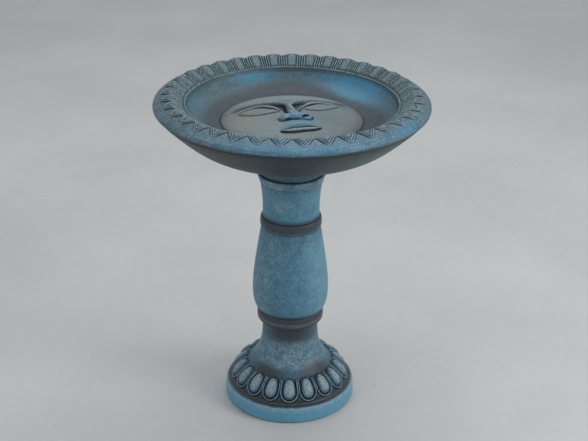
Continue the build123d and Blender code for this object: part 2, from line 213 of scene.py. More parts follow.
def ring_faces(rows, columns):
    """Quads of a grid of vertices that wraps round both its rows and its columns."""
    index = np.arange(rows * columns).reshape(rows, columns)
    right = np.roll(index, -1, axis=1)
    below, below_right = np.roll(index, -1, axis=0), np.roll(right, -1, axis=0)
    return np.stack([index, right, below_right, below], axis=-1).reshape(-1, 4)


def mesh_object(name, points, faces, attributes, extra=()):
    """Object from vertex positions in mm, quads, per-vertex values and a few larger faces."""
    mesh = bpy.data.meshes.new(name)
    if extra:
        everything = [tuple(f) for f in faces.tolist()] + [tuple(f) for f in extra]
        mesh.from_pydata((points * MM).tolist(), [], everything)
    else:
        mesh.vertices.add(len(points))
        mesh.vertices.foreach_set("co", (points * MM).astype(np.float32).ravel())
        mesh.loops.add(faces.size)
        mesh.loops.foreach_set("vertex_index", faces.astype(np.int32).ravel())
        mesh.polygons.add(len(faces))
        mesh.polygons.foreach_set("loop_start", np.arange(0, faces.size, 4, dtype=np.int32))
        mesh.update(calc_edges=True)
    for key, values in attributes.items():
        layer = mesh.attributes.new(key, "FLOAT", "POINT")
        layer.data.foreach_set("value", values.astype(np.float32).ravel())
    mesh.validate()
    mesh.polygons.foreach_set("use_smooth", np.ones(len(mesh.polygons), bool))
    mesh.set_sharp_from_angle(angle=math.radians(SHARP_ANGLE))
    made = bpy.data.objects.new(name, mesh)
    bpy.context.scene.collection.objects.link(made)
    return made


def lathe(name, profile, columns, relief=None, **attributes):
    """Closed body turned about Z from a closed profile, raised along its normals by relief."""
    angles = turns(columns)
    normals = normals_of(profile)
    relief = np.zeros((len(profile), columns)) if relief is None else relief
    radius = profile[:, :1] + normals[:, :1] * relief
    height = profile[:, 1:] + normals[:, 1:] * relief
    points = np.stack([radius * np.cos(angles), radius * np.sin(angles), height], axis=-1)
    return mesh_object(name, points.reshape(-1, 3), ring_faces(len(profile), columns), attributes)


def nearest(profile, point):
    """Index of the profile's point that lies nearest to a point."""
    return np.argmin(np.hypot(*(profile - point).T))


def turns(columns):
    """Angles of the columns of vertices round a lathed piece."""
    return np.arange(columns) * 2 * np.pi / columns


def outline_distance(across, along, half_width, shoulder, length, point=2.0):
    """Distance inside a tongue: straight sides as far as the shoulder, then a rounded or pointed end."""
    past = np.maximum(along - shoulder, 0.0) / (length - shoulder)
    share = (np.abs(across / half_width) ** point + past**point) ** (1.0 / point)
    return (1.0 - share) * half_width


def wobble(angles, amount):
    """Small hand-made unevenness round a ring of repeated ornament, in mm."""
    slow, quick = np.sin(3 * angles + 1.0), 0.6 * np.sin(7 * angles + 2.3)
    return amount * (slow + quick + 0.4 * np.sin(16 * angles))


def across_repeat(angles, radius, count, first, amount):
    """Sideways distance in mm from the middle of the nearest repeat of an ornament."""
    pitch = 2 * np.pi / count
    turn = angles - first + wobble(angles, amount) / radius
    return (np.mod(turn + pitch / 2, pitch) - pitch / 2) * radius, pitch * radius / 2


# ------------------------------------------------------------------ pedestal

OVOLO = [(126.4, 42.4), (123.4, 50.2), (118.2, 59.3), (111.2, 67.6), (102.2, 75.2), (92.4, 81.0)]
CAVETTO = [
    (92.4, 81.0), (88, 84.6), (81, 92.6), (75, 102), (70, 111.5), (66, 122), (63, 133), (61, 145),
    (60, 160), (59.5, 175), (59.5, 189),
]
LOWER_BAND = [(68.4, 189.3), (70.3, 191.6), (71.0, 197), (71.0, 205), (70.3, 210.5), (68.8, 213.8)]
BELLY = [
    (68.8, 213.8), (71.2, 217), (74.6, 222.4), (77.5, 230), (79.6, 240), (80.8, 253), (80.8, 268),
    (79.6, 290), (77.2, 312), (73.8, 337), (69.6, 365), (65.2, 392), (62.2, 409),
]
UPPER_BAND = [(62.6, 409.4), (64.2, 411.5), (64.8, 416), (64.6, 423), (63.8, 428), (62.4, 430.6)]
UPPER_NECK = [
    (60.6, 431.4), (59.7, 440), (59.5, 453), (60.0, 468), (61.6, 486), (64.0, 503), (65.2, 511),
]
COLLAR = [
    (65.2, 511), (66.8, 512.4), (67.6, 514.6), (68.2, 517.6), (67.7, 518.4), (68.9, 519.6), (70.0, 523.0),
    (69.7, 523.8), (70.8, 524.8), (71.2, 526), (70.6, 527.6),
]
PLINTH = [
    (140.2, 4.4), (140.8, 9), (140.6, 20), (139.8, 30), (138.7, 34.2), (137.0, 36.4), (134.4, 37.6),
]
LEDGE = [(134.4, 37.6), (131.0, 38.4), (128.2, 39.6), (126.4, 42.4)]
CAVITY = [
    (47, 470), (48, 420), (52, 385), (62, 320), (66, 268), (66, 252), (58, 228), (47, 205), (47, 150),
    (52, 112), (62, 88), (76, 72), (92, 62), (100, 45),
]


# share, level and reach of the pale lines round the bands of the column (edge wear with painted highlight
# under the upper band, a painted highlight on the lower band's face) and of the dark lines in their creases
# (painted shade)
BAND_HIGHLIGHTS = [(0.75, 411.5, 1.8), (0.4, 199.0, 7.0)]
BAND_SHADE_LINES = [(0.7, 431.0, 1.7), (0.6, 408.8, 1.4), (0.7, 214.2, 2.0), (0.9, 188.8, 2.2)]
INSIDE_COLUMN = 58.0  # radius that parts the outside of the column from its hollow


def pedestal_profile():
    """Closed outline of the casting: up the outside, over the top and down the hollow."""
    standing, edge = [(radius, FOOT_BOTTOM) for radius in STANDING_EDGE]
    plate = PLATE_HIGH.x + FITTING_GAP
    groove_floor, groove_outer = SEAT_LOW.z - SEAT_GAP, SEAT_HIGH.x + SEAT_GAP
    groove_inner = SEAT_HIGH.x - SEAT_WIDTH
    mouth, ledge = SOCKET_HIGH.x + FITTING_GAP, SOCKET_HIGH.z - SOCKET_FLANGE
    outside = joined(
        polyline([standing, edge, PLINTH[0]], 2),
        curve(PLINTH, 1.2), curve(LEDGE, 1.0), curve(OVOLO, 0.9), curve(CAVETTO, 2.4),
        polyline([CAVETTO[-1], LOWER_BAND[0]], 2), curve(LOWER_BAND, 1.0), curve(BELLY, 3.0),
        curve(UPPER_BAND, 1.0), curve(UPPER_NECK, 2.4), curve(COLLAR, 0.9),
    )
    top = polyline([
        COLLAR[-1], (69.8, COLLAR_TOP), (groove_outer, COLLAR_TOP), (groove_outer, groove_floor),
        (groove_inner, groove_floor), (groove_inner, COLLAR_TOP), (mouth, COLLAR_TOP), (mouth, ledge),
        (SOCKET_BORE, ledge), (SOCKET_BORE, SOCKET_SHOULDER), CAVITY[0],
    ], 12)
    inside = polyline(CAVITY, 30)
    shelf = (CAVITY[-1][0], PLATE_HIGH.z)
    under = polyline([CAVITY[-1], shelf, (plate, PLATE_HIGH.z), (plate, FOOT_BOTTOM), standing], 12)
    return joined(outside, top, inside, under)[:-1]


def egg_relief(across, along, half):
    """Height of one egg and its border over the ovolo, and a measure that is above 0 inside the egg."""
    side = half * 0.985
    inside = outline_distance(across, along, side, EGG_SHOULDER, EGG_BORDER_LENGTH)
    border = EGG_BORDER_RAISE * smoothstep(inside, -0.4, 0.8) * (1 - smoothstep(inside, 2.2, 4.2))
    narrow = (side - EGG_BORDER_WIDTH) * (0.93 + 0.07 * smoothstep(along, 2.0, 26.0))
    off = np.abs(along - EGG_MIDDLE)
    ends = np.where(along < EGG_MIDDLE, (off / EGG_REACH[0]) ** 4, (off / EGG_REACH[1]) ** 2.4)
    core = 1.0 - np.abs(across / narrow) ** 2.1 - ends
    egg = EGG_RAISE * np.clip(core, 0, 1) ** 0.55
    groove = -1.3 * bell(inside - 4.6, 2.2) - 1.2 * bell(inside + 1.4, 1.9)
    return (border + egg + groove * (core < 0.05)) * smoothstep(along, 0.0, 3.5), core


def make_pedestal():
    """The column with its egg-and-dart foot, in one closed mesh."""
    profile = pedestal_profile()
    along = lengths_along(profile)
    first, last = nearest(profile, OVOLO[0]), nearest(profile, OVOLO[-1])
    angles = turns(PEDESTAL_COLUMNS)
    relief = np.zeros((len(profile), PEDESTAL_COLUMNS))
    rows = slice(first - 2, last + 1)
    down = (along[last] - along[rows])[:, None] * EGG_LENGTH / (along[last] - along[first])
    across, half = across_repeat(angles, profile[rows, :1], EGGS, first=0.0, amount=0.25)
    eggs, core = egg_relief(across, down, half)
    relief[rows] = eggs * smoothstep(EGG_LENGTH + 1.0 - down, -1.0, 1.5)
    hollow, worn = hollows(relief, rows=4, columns=4, depth=1.5)
    hollow[first : last + 1] += 0.45 * (relief[first : last + 1] < 0.2)
    worn *= 0.8
    # painted highlight on the middle of each egg, strongest on the eggs facing the front
    facing = 0.55 + 0.45 * turn_patch(np.cos(angles), np.sin(angles), -105, 40)
    worn[rows] = np.maximum(worn[rows] * (core < 0), 2.0 * facing * smoothstep(core, 0.25, 1.0))
    # painted shade, with antiquing, round the edge of each egg
    egg_edge_shade = (1 - smoothstep(core, 0.02, 0.30)) * (core > -0.15)
    hollow[rows] = np.maximum(0.85 * hollow[rows], 0.5 * egg_edge_shade)
    level = np.where(profile[:, 0] > INSIDE_COLUMN, profile[:, 1], 0.0)[:, None]
    # painted highlights along the bands, and painted shade in the creases round them
    for share, middle, reach in BAND_HIGHLIGHTS:
        worn = worn + share * bell(level - middle, reach)
    for share, middle, reach in BAND_SHADE_LINES:
        hollow = hollow + share * bell(level - middle, reach)
    values = {"hollow": np.clip(hollow, 0, 1), "worn": worn}
    return lathe("pedestal_casting", profile, PEDESTAL_COLUMNS, relief, **values)


# ------------------------------------------------------------------ basin

LIP = [
    (275.5, 672.0), (277.6, 672.8), (279.4, 674.8), (280.0, 677.8), (279.4, 681.4), (277.2, 684.2),
    (272.3, 687.2),
]
ROLL = [
    (272.3, 687.2), (265.7, 690.6), (258.0, 693.8), (253.0, 695.4), (248.0, 696.4), (244.6, 695.8),
    (240.0, 692.9), (235.0, 689.8), (226.0, 684.4), (220.4, 680.6),
]
BEAD = [
    (220.4, 680.6), (219.2, 679.9), (218.6, 680.6), (217.6, 681.8), (216.3, 682.0), (215.0, 681.0),
    (214.2, 678.6),
]
DISH = [
    (214.2, 678.6), (212.4, 675.0), (208.4, 669.0), (202.6, 662.4), (194, 655.6), (183, 649.6),
    (170, 644.8), (158, 641.9), (150, 640.9),
]
PAN_UNDER = [
    (138, 634.0), (147, 634.0), (166, 637.5), (186, 645), (201, 654), (214, 666), (228, 676), (238, 682),
    (246, 686), (252, 682), (257, 676), (262, 672), (275.5, 672),
]
SHELL_OUT = [
    (66, 531.2), (66, 541.5), (67.4, 545.0), (71, 547.2), (80, 549.9), (104.5, 560.8), (125, 570.2),
    (142.2, 577.6), (156.8, 583.4), (169.6, 588.6), (181.4, 593.8), (192.9, 599.6), (204.8, 606.7),
    (217.9, 616.2), (233, 628.8), (250.8, 645), (266.5, 660.4), (271.4, 666.4), (272.4, 671.6),
]
SHELL_IN = [
    (261, 672), (260.6, 668), (240, 648), (222, 631), (204, 617.6), (184, 606.6), (158, 596), (128, 584.4),
    (100, 572.6), (76, 563), (60, 560),
]


def pan_profile():
    """Closed outline of the basin's upper casting, outside the relief disc."""
    seat = [DISH[-1], (147.4, 640.6), (145.0, FACE_SKIRT), (PAN_UNDER[0][0], FACE_SKIRT), PAN_UNDER[0]]
    return joined(
        polyline(PAN_UNDER, 14), curve(LIP, 0.9), curve(ROLL, 0.9), curve(BEAD, 0.55), curve(DISH, 2.5),
        polyline(seat, 3),
    )[:-1]


def petal_relief(across, along, half):
    """Height of one tongue over the rim, its shares of dark line (antiquing in the grooves, with painted
    shade on the gap wall away from the light) and of pale ridge (edge wear with painted highlight), and the
    gap round it.
    """
    inside = outline_distance(across, along, half - 0.3, PETAL_SHOULDER, PETAL_LENGTH, point=1.1)
    ridge, inner_ridge = (inside - line for line in PETAL_RIDGES)
    groove, inner_groove = (inside - line for line in PETAL_GROOVES)
    fade = 1 - 0.8 * smoothstep(along, PETAL_SINK, PETAL_LENGTH)
    wall = 1.3 * smoothstep(inside, -0.5, 1.0)
    rings = 1.2 * bell(ridge, 2.0) + 1.1 * bell(inner_ridge, 2.0)
    rings -= 1.0 * bell(groove, 1.7) + 1.0 * bell(inner_groove, 1.8)
    crown = 1.2 * (1 - (across / half) ** 2) * smoothstep(inside, 0.0, 9.0)
    gap = -0.6 * bell(inside + 1.0, 1.6)
    # painted shade on the gap wall away from the light, wider on one side of each petal than the other
    shaded = np.where(across < 0, 1.5 * bell(inside + 0.8, 2.9), 1.2 * bell(inside + 0.4, 1.9))
    stroke_and_shade = np.maximum(np.clip(shaded, 0, 1), bell(groove, 2.1) + 0.9 * bell(inner_groove, 2.2))
    stroke_and_shade = stroke_and_shade * (1 - smoothstep(along, 44.0, 51.0))
    pale = 1.2 * bell(ridge, 1.8) + 1.1 * bell(inner_ridge, 1.9) + 0.2 * smoothstep(inside, 12.0, 15.0)
    outside = smoothstep(-inside, 1.0, 2.6)
    height = (wall + rings + crown + gap) * fade * smoothstep(along, 0.5, 5.0)
    return height, stroke_and_shade, pale * fade, outside


def make_pan():
    """Rim, petals, bead and dish wall, in one closed mesh."""
    profile = pan_profile()
    outer, inner = nearest(profile, ROLL[0]), nearest(profile, ROLL[-1])
    along = lengths_along(profile)
    angles = turns(PAN_COLUMNS)
    rows = slice(outer - 3, inner + 1)
    outwards = (along[inner] - along[rows])[:, None]
    first = -np.pi / 2 + np.pi / PETALS
    across, half = across_repeat(angles, profile[rows, :1], PETALS, first, amount=0.5)
    relief = np.zeros((len(profile), PAN_COLUMNS))
    relief[rows], stroke_and_shade, pale, outside = petal_relief(across, outwards, half)
    hollow, worn = hollows(relief, rows=4, columns=5, depth=1.3)
    # antiquing and painted shade in the grooves and gaps, edge wear and painted highlight on the ridges
    hollow[rows] = np.maximum(hollow[rows] * (1 - 0.8 * outside), stroke_and_shade)
    worn[rows] = np.maximum(worn[rows] * 0.6, np.clip(pale, 0, 1))
    worn *= 1 - hollow
    return lathe("basin_rim_and_dish", profile, PAN_COLUMNS, relief, hollow=hollow, worn=worn)


def make_shell():
    """Outer skin of the basin with its foot ring, closed over its own thickness."""
    foot = [(SPIGOT_HIGH.x + 0.4, BASIN_FOOT), (65.4, BASIN_FOOT), SHELL_OUT[0]]
    top = [SHELL_OUT[-1], (SHELL_OUT[-1][0], LIP_UNDERSIDE), SHELL_IN[0]]
    floor = [
        SHELL_IN[-1], (AXIS_GAP, SHELL_FLOOR), (AXIS_GAP, SPIGOT_SEAT), (SPIGOT_RECESS, SPIGOT_SEAT),
        (SPIGOT_RECESS, BASIN_FOOT),
    ]
    profile = joined(
        polyline(foot, 6), polyline(SHELL_OUT[:2], 4), curve(SHELL_OUT[1:], 2.5), polyline(top, 6),
        curve(SHELL_IN, 8), polyline(floor, 12),
    )[:-1]
    zero = np.zeros((len(profile), SHELL_COLUMNS))
    return lathe("basin_underside", profile, SHELL_COLUMNS, None, hollow=zero, worn=zero)


# ------------------------------------------------------------------ relief face

# arch of a brow: distance out from the nose, and height up the face
BROW = [
    (0, 40), (8, 54), (16, 64), (30, 73), (48, 78), (68, 79), (88, 76), (104, 70), (118, 61), (130, 48),
]
BROW_TILT = 0.062  # rise of both brows towards +X
# eyes: tilt in degrees, opening above and below the long axis, and how far each edge bows to one end
LEFT_EYE = {
    "centre": (-65.0, 12.5), "tilt": -13.0, "above": 20.8, "below": 17.5, "lean": -0.55, "droop": -0.3,
}
RIGHT_EYE = {
    "centre": (63.0, 23.0), "tilt": 17.0, "above": 17.5, "below": 18.0, "lean": 0.5, "droop": -0.45,
}
MOUTH = {"centre": (2.0, -88.5), "degrees": 4.0}
LIP_CREST = 11.0  # above the parting, at the middle of the mouth
LIP_FOOT = -11.4


def turned(x, y, centre, degrees):
    """Coordinates in a frame at a centre, turned anticlockwise."""
    c, k = math.cos(math.radians(degrees)), math.sin(math.radians(degrees))
    dx, dy = x - centre[0], y - centre[1]
    return dx * c + dy * k, dy * c - dx * k


def under_brow(x, y):
    """Distance out from the nose, and distance below the arch of the brow."""
    side = np.abs(x)
    brow = np.interp(side, *zip(*BROW))
    return side, brow + BROW_TILT * x - y


def brow_shade(x, y):
    """Share of painted shade on the wall that drops from each brow."""
    side, under = under_brow(x, y)
    reach = smoothstep(side, 5, 10) * (1 - 0.8 * smoothstep(side, 96, 134))
    low_end = 7.0 + 26.0 * (1 - smoothstep(side, 12, 34))
    return reach * smoothstep(under, -0.5, 2.0) * (1 - smoothstep(under, low_end, low_end + 8.0))


def face_socket(x, y):
    """Hollow under each brow, deepest beside the nose."""
    side, under = under_brow(x, y)
    reach = smoothstep(side, 3, 9) * (1 - smoothstep(side, 106, 134))
    depth = 8.0 + 1.2 * (1 - smoothstep(side, 22, 55)) - 3.6 * smoothstep(side, 72, 104)
    low_end = 11.0 + 34.0 * (1 - smoothstep(side, 14, 40))
    return -depth * reach * smoothstep(under, 0.0, 9.0) * (1 - smoothstep(under, low_end, low_end + 36.0))


def face_eye(x, y, centre, tilt, above, below, lean, droop):
    """One almond eye: its height, its share of dark line (painted shade under the upper lid's edge and
    along the lower crease), and its share of pale upper lid (painted highlight on the lid's top).
    """
    u, v = turned(x, y, centre, tilt)
    share = np.clip(u / EYE_HALF, -1, 1)
    arch = 1 - share**2
    top = above * arch**0.9 * (1 + lean * share)
    low = -below * arch**0.8 * (1 + droop * share)
    here = smoothstep(1.03 - np.abs(u / EYE_HALF), 0.0, 0.10)
    taper = here * (0.25 + 0.75 * np.sqrt(arch))
    inner = np.clip((v - low) / np.maximum(top - low, 0.5), 0, 1)
    ball = 3.0 * np.sin(np.pi * np.clip(0.14 + 0.84 * inner, 0, 1)) ** 0.8 * (v > low) * (v < top)
    lid = 3.0 * smoothstep(v - top, -0.4, 0.6) + 2.6 * smoothstep(v - top, 0.4, 5.5)
    lid = lid * (1 - smoothstep(v - top, 6.0, 13.0))
    height = taper * (ball + lid) - 2.4 * here * bell(v - top + 1.3, 2.6)
    edge = 0.7 * bell(v - low - 2.8, 2.4) - 0.8 * bell(v - low - 6.6, 1.8) - 1.7 * bell(v - low + 1.4, 2.4)
    # painted shade under the edge of the upper lid, and along the lower lid's crease
    upper_line = np.clip(2.6 * bell(v - top + 1.4, 4.0), 0, 1)
    ink_and_shade = here * np.maximum(upper_line, 0.75 * bell(v - low + 1.4, 2.6))
    # painted highlight on the top of the upper lid, which faces up
    strip = here * smoothstep(v - top, 0.9, 1.8) * (1 - smoothstep(v - top, 4.5, 8.0))
    return height + here * edge, ink_and_shade, strip


def face_eyes(x, y):
    """Both eyes: their height, and their shares of dark line (painted shade) and of pale lid (painted
    highlight).
    """
    left, left_ink_and_shade, left_lid = face_eye(x, y, **LEFT_EYE)
    right, right_ink_and_shade, right_lid = face_eye(x, y, **RIGHT_EYE)
    return left + right, np.maximum(left_ink_and_shade, 0.9 * right_ink_and_shade), np.maximum(left_lid, right_lid)


def dome(height, *offsets):
    """Rounded body whose outline is where the offsets add up to 1."""
    return height * np.sqrt(np.clip(1 - sum(offsets), 0, 1))


def face_nose(x, y):
    """Straight narrow bridge, round tip, wings and nostrils."""
    down = np.clip((46.0 - y) / 96.0, 0, 1.1)  # 0 at the top of the bridge, 1 below the tip
    side, wing = np.abs(x + 3.0), np.abs(x - NOSE_MIDDLE)
    bridge = (2.0 + 11.0 * down) * smoothstep(8.6 + 2.4 * down**3 - side, 0.0, 3.6)
    bridge *= smoothstep(62.0 - y, 0, 22) * (1 - smoothstep(-y, 50.0, 55.0))
    level = ((y - NOSE_TIP[1]) / NOSE_TIP_HALF[1]) ** 2
    tip = dome(NOSE_RAISE + 2.0, ((x - NOSE_TIP[0]) / NOSE_TIP_HALF[0]) ** 2, level)
    flare = dome(NOSE_RAISE, ((wing - 19.5) / 14.0) ** 2, ((y + 47.0) / 11.5) ** 2)
    body = dome(NOSE_RAISE, (wing / 32.5) ** 4, level)
    nose = np.maximum(np.maximum(bridge, tip), np.maximum(flare, body))
    nose = np.maximum(nose, 4.5 * hump(x + 1, y + 46, 26, 14))
    return nose - 5.0 * nostrils(x, y) * smoothstep(nose, 3.0, 6.0)


def nostrils(x, y):
    """Share of nostril: two level slots in the front of the nose."""
    across = (np.abs(x + 0.6) - NOSTRIL[0]) / NOSTRIL_HALF[0]
    up = (y - NOSTRIL[1] - 0.14 * x) / NOSTRIL_HALF[1]
    return np.exp(-(across**4) - up**4)


def wing_lines(x, y):
    """Share of dark line round the outer side of each wing of the nose: painted shadow."""
    wing = np.abs(x - NOSE_MIDDLE)
    rounded = np.hypot((wing - 19.0) / 16.5, (y + 48.0) / 15.0)
    return bell(rounded - 1.0, 0.14) * (wing > 26) * (y < -42)


def mouth_lines(x, y):
    """Place along and across the mouth, and the lines of its crest, parting and lower edge."""
    u, v = turned(x, y, **MOUTH)
    share = np.clip(np.abs(u) / MOUTH_HALF, 0, 1)
    crest = LIP_CREST * (1 - share**1.25) - 2.0 * np.exp(-((u / 5.0) ** 2))
    part = -0.8 * (1 - share**2) - 0.9 * np.exp(-((u / 7.0) ** 2))
    low = LIP_FOOT * (1 - share**3.2) ** 0.85
    return u, v, share, crest, part, low


def face_mouth(x, y):
    """Full closed lips on a low mound: their height, their share of dark line (painted shadow under the
    lower lip, painted shade in the parting), and their share of pale lip (painted highlight on the lower
    lip's top).
    """
    u, v, share, crest, part, low = mouth_lines(x, y)
    full = smoothstep(1.0 - share, 0.0, 0.22)
    rise = np.clip((v - part) / np.maximum(crest - part, 0.5), 0, 1)
    upper = (0.6 + 5.0 * smoothstep(1.0 - share, 0.0, 0.75)) * np.sin(np.pi / 2 * rise) ** 0.85
    upper = upper * (1 - smoothstep(v - crest, 0.0, 6.0))
    pout = np.clip((v - low) / np.maximum(part - low, 0.5), 0, 1)
    lower = 3.2 * smoothstep(pout, 0.0, 0.18) * (1 - 0.7 * pout) * (v < part)
    lines = -1.0 * bell(v - part, 1.3) - 0.8 * bell(v - low + 1.2, 2.4)
    inside = smoothstep(1.04 - np.abs(u) / MOUTH_HALF, 0.0, 0.10)
    height = inside * (full**0.5 * (upper * (v > part) + lower) + lines) + 4.8 * hump(x, y + 84, 38, 26)
    # painted shadow under the lower lip, wider at one corner, and painted shade along the parting
    under = smoothstep(v - low, -6.0 - 1.8 * (u < 0), -4.2) * (1 - smoothstep(v - low, 0.5, 1.4))
    ink_and_shade = inside * np.maximum(under, bell(v - part, 1.4))
    # painted highlight on the top of the lower lip
    pale = inside * (1 - share**6) * smoothstep(v - low, 1.2, 2.2) * (1 - smoothstep(v - part, -2.6, -0.8))
    return height, ink_and_shade, pale


def face_relief(x, y):
    """Height of the whole face over its disc, its share of dark line (painted shade in the creases, the
    nostrils and round the nose's wings), and its share of pale surface (painted highlights on the forehead,
    lids and lower lip, and a paler left cheek).
    """
    radius = np.hypot(x, y)
    mouth, mouth_ink_and_shade, lower_lip = face_mouth(x, y)
    eyes, eye_ink_and_shade, lids = face_eyes(x, y)
    relief = face_socket(x, y) + face_nose(x, y) + mouth + eyes
    relief = blurred_plain(relief, 1) * (1 - smoothstep(radius, 130, 142))
    # painted shade in the eye and mouth lines, round the nose's wings and in the nostrils
    ink_and_shade = np.maximum(np.maximum(mouth_ink_and_shade, eye_ink_and_shade), 0.9 * wing_lines(x, y))
    ink_and_shade = np.maximum(ink_and_shade, 1.2 * nostrils(x, y - 1.0) * (relief > 3.0))
    # painted highlight on the forehead, which faces up, and a paler left cheek
    forehead = smoothstep(y, 62, 98) * (1 - smoothstep(radius, 130, 145))
    cheek = smoothstep(20 - x, 0, 60) * smoothstep(-y, -10, 30) * (1 - smoothstep(radius, 110, 138))
    pale = np.maximum(forehead, np.maximum(0.8 * lids, lower_lip)) + 0.35 * cheek
    return relief, ink_and_shade, pale


def make_face():
    """The relief disc: a square grid bent to a circle, closed underneath."""
    line = np.linspace(-1, 1, FACE_GRID)
    u, v = np.meshgrid(line, line)
    x = u * np.sqrt(1 - v**2 / 2) * FACE_RADIUS
    y = v * np.sqrt(1 - u**2 / 2) * FACE_RADIUS
    radius = np.hypot(x, y)
    relief, ink_and_shade, pale = face_relief(x, y)
    z = FACE_EDGE + FACE_DOME * (1 - (radius / FACE_RADIUS) ** 2) + relief
    z -= 1.2 * np.clip((radius - 141.0) / 5.0, 0, 1) ** 2  # rounded edge of the disc

    grid = np.arange(FACE_GRID**2).reshape(FACE_GRID, FACE_GRID)
    faces = np.stack([grid[:-1, :-1], grid[:-1, 1:], grid[1:, 1:], grid[1:, :-1]], axis=-1).reshape(-1, 4)
    rim = np.concatenate([grid[0], grid[1:, -1], grid[-1, -2::-1], grid[-2:0:-1, 0]])
    top = np.stack([x, y, z], axis=-1).reshape(-1, 3)
    skirt = top[rim].copy()
    skirt[:, 2] = FACE_SKIRT
    lower = len(top) + np.arange(len(rim))
    walls = np.stack([rim, lower, np.roll(lower, -1), np.roll(rim, -1)], axis=-1)

    # dark in hollows and on the painted shade lines; pale on raised parts (edge wear) and on the painted
    # highlights
    off = relief - blurred_plain(relief, 6)
    hollow = np.clip(np.maximum(-off - 0.1, 1.1 * ink_and_shade), 0, 1)
    worn = np.clip(np.maximum(off / 1.5 - 0.1, pale), 0, 1) * (1 - np.clip(1.2 * ink_and_shade, 0, 1))
    plain = np.zeros(len(rim))
    values = {
        "hollow": np.concatenate([hollow.ravel(), plain]), "worn": np.concatenate([worn.ravel(), plain]),
    }
    points = np.concatenate([top, skirt])
    return mesh_object("relief_face", points, np.concatenate([faces, walls]), values, [lower[::-1]])


# ------------------------------------------------------------------ painted zones

# azimuths are in degrees round from +X; the front of the bath is at about -98
LOWER_BAND_SPAN = (188, 214)  # levels
UPPER_BAND_SPAN = (409, 431)
SEAM_RADIUS = 67.5
DISH_EDGE = 214.0  # radius where the dish meets the bead

# patches in the dish: share, azimuth, radius, and spread along and up the wall
DISH_SHADES = [
    (0.5, 82, 174, 60, 18), (0.1, 76, 204, 60, 14), (-0.45, 34, 184, 50, 18), (0.3, -20, 185, 70, 24),
    (0.2, -150, 185, 60, 24),
]
DISH_BLUES = [(1.3, 36, 196, 58, 24), (0.9, 104, 210, 34, 9), (0.15, 162, 198, 40, 18)]

# patches on the face: share, place across and up the disc, and spread across and up
FACE_BLUES = [(1.5, 7, -47, 22, 11), (0.7, 5, -66, 24, 7)]
# painted shade on the right cheek
FACE_SHADES = [(0.38, 75, -40, 40, 40)]
FACE_OLIVES = [(0.9, -98, -22, 26, 30), (0.35, 104, -10, 26, 30), (0.35, -70, 92, 40, 18)]


def paint(piece, **zones):
    """Store named per-vertex values from functions of position in mm."""
    co = np.empty(len(piece.data.vertices) * 3, np.float32)
    piece.data.vertices.foreach_get("co", co)
    x, y, z = (co.reshape(-1, 3).T / MM).astype(float)
    for key, zone in zones.items():
        layer = piece.data.attributes.new(key, "FLOAT", "POINT")
        layer.data.foreach_set("value", np.clip(zone(x, y, z), 0, 1).astype(np.float32))


def around(z, low, high, fade_down, fade_up):
    """1 inside a level band, fading below and above it."""
    return smoothstep(z, low - fade_down, low) * (1 - smoothstep(z, high, high + fade_up))


def turn_patch(x, y, azimuth, spread):
    """Soft share of the way round, centred on an azimuth in degrees."""
    turn = np.degrees(np.arctan2(y, x)) - azimuth
    return np.exp(-0.5 * (((turn + 180) % 360 - 180) / spread) ** 2)


def pedestal_stain(x, y, z):
    """Dark antiquing on the bands, the seam and the ledge of the foot, painted shadow under the lower band,
    and painted shade on the collar's top under the basin.
    """
    # painted shadow under the lower band, darkest at the front, over dripped antiquing
    front = 0.45 + 0.55 * turn_patch(x, y, -98, 34)
    bands = 0.8 * around(z, *UPPER_BAND_SPAN, 3, 18) + 1.1 * around(z, *LOWER_BAND_SPAN, 4, 15)
    drips_and_shadow = 0.95 * front * around(z, 166, 190, 38, 4)
    sides = 0.6 * (turn_patch(x, y, -135, 16) + turn_patch(x, y, -58, 16)) * around(z, 82, 96, 4, 22)
    # a dark seam line, and painted shade on the collar's top under and round the basin's foot
    seams_and_shade = 0.5 * around(z, 509.5, 512.5, 3, 2) + (z > 527.0) * (np.hypot(x, y) < SEAM_RADIUS)
    foot = around(z, 37.4, 44, 2.5, 10) + 0.4 * around(z, 44, 88, 10, 20)
    return bands + drips_and_shadow + sides + seams_and_shade + foot


def pedestal_bright(x, y, z):
    """Clean blue on the plinth, and a little on the belly and neck, with a painted highlight on the right
    of the belly.
    """
    # more blue towards the right of the belly: a painted highlight where the key light falls
    right = turn_patch(x, y, -35, 32)
    belly = (0.2 + 0.45 * right) * around(z, 235, 370, 30, 40)
    return 0.95 * smoothstep(38.0 - z, 0, 3.0) + belly + 0.4 * around(z, 440, 500, 15, 12)


def pedestal_dust(x, y, z):
    """Pale bloom on the sides of the belly, the neck, the cavetto and the top edge of the plinth."""
    outside = np.hypot(x, y) > INSIDE_COLUMN
    belly = 0.5 * turn_patch(x, y, -148, 20) + 0.45 * turn_patch(x, y, -50, 20)
    belly = belly * around(z, 235, 390, 20, 20)
    neck = 0.8 * turn_patch(x, y, -120, 16) * around(z, 462, 478, 12, 12) + 0.9 * around(z, 511, 526, 3, 3)
    cavetto = (0.35 + 0.6 * turn_patch(x, y, -105, 30)) * around(z, 104, 142, 14, 22)
    return outside * (belly + neck + cavetto + 1.0 * around(z, 31, 36.5, 8, 1.5))


def arc_patch(x, y, azimuth, radius, wide_by, tall_by):
    """A soft patch at an azimuth and radius of the dish."""
    turn = np.arctan2(y, x) - math.radians(azimuth)
    turn = (turn + np.pi) % (2 * np.pi) - np.pi
    return hump(turn * radius, np.hypot(x, y) - radius, wide_by, tall_by)


def arc_patches(x, y, patches):
    """Several soft patches of the dish, added up."""
    return sum(share * arc_patch(x, y, *place) for share, *place in patches)


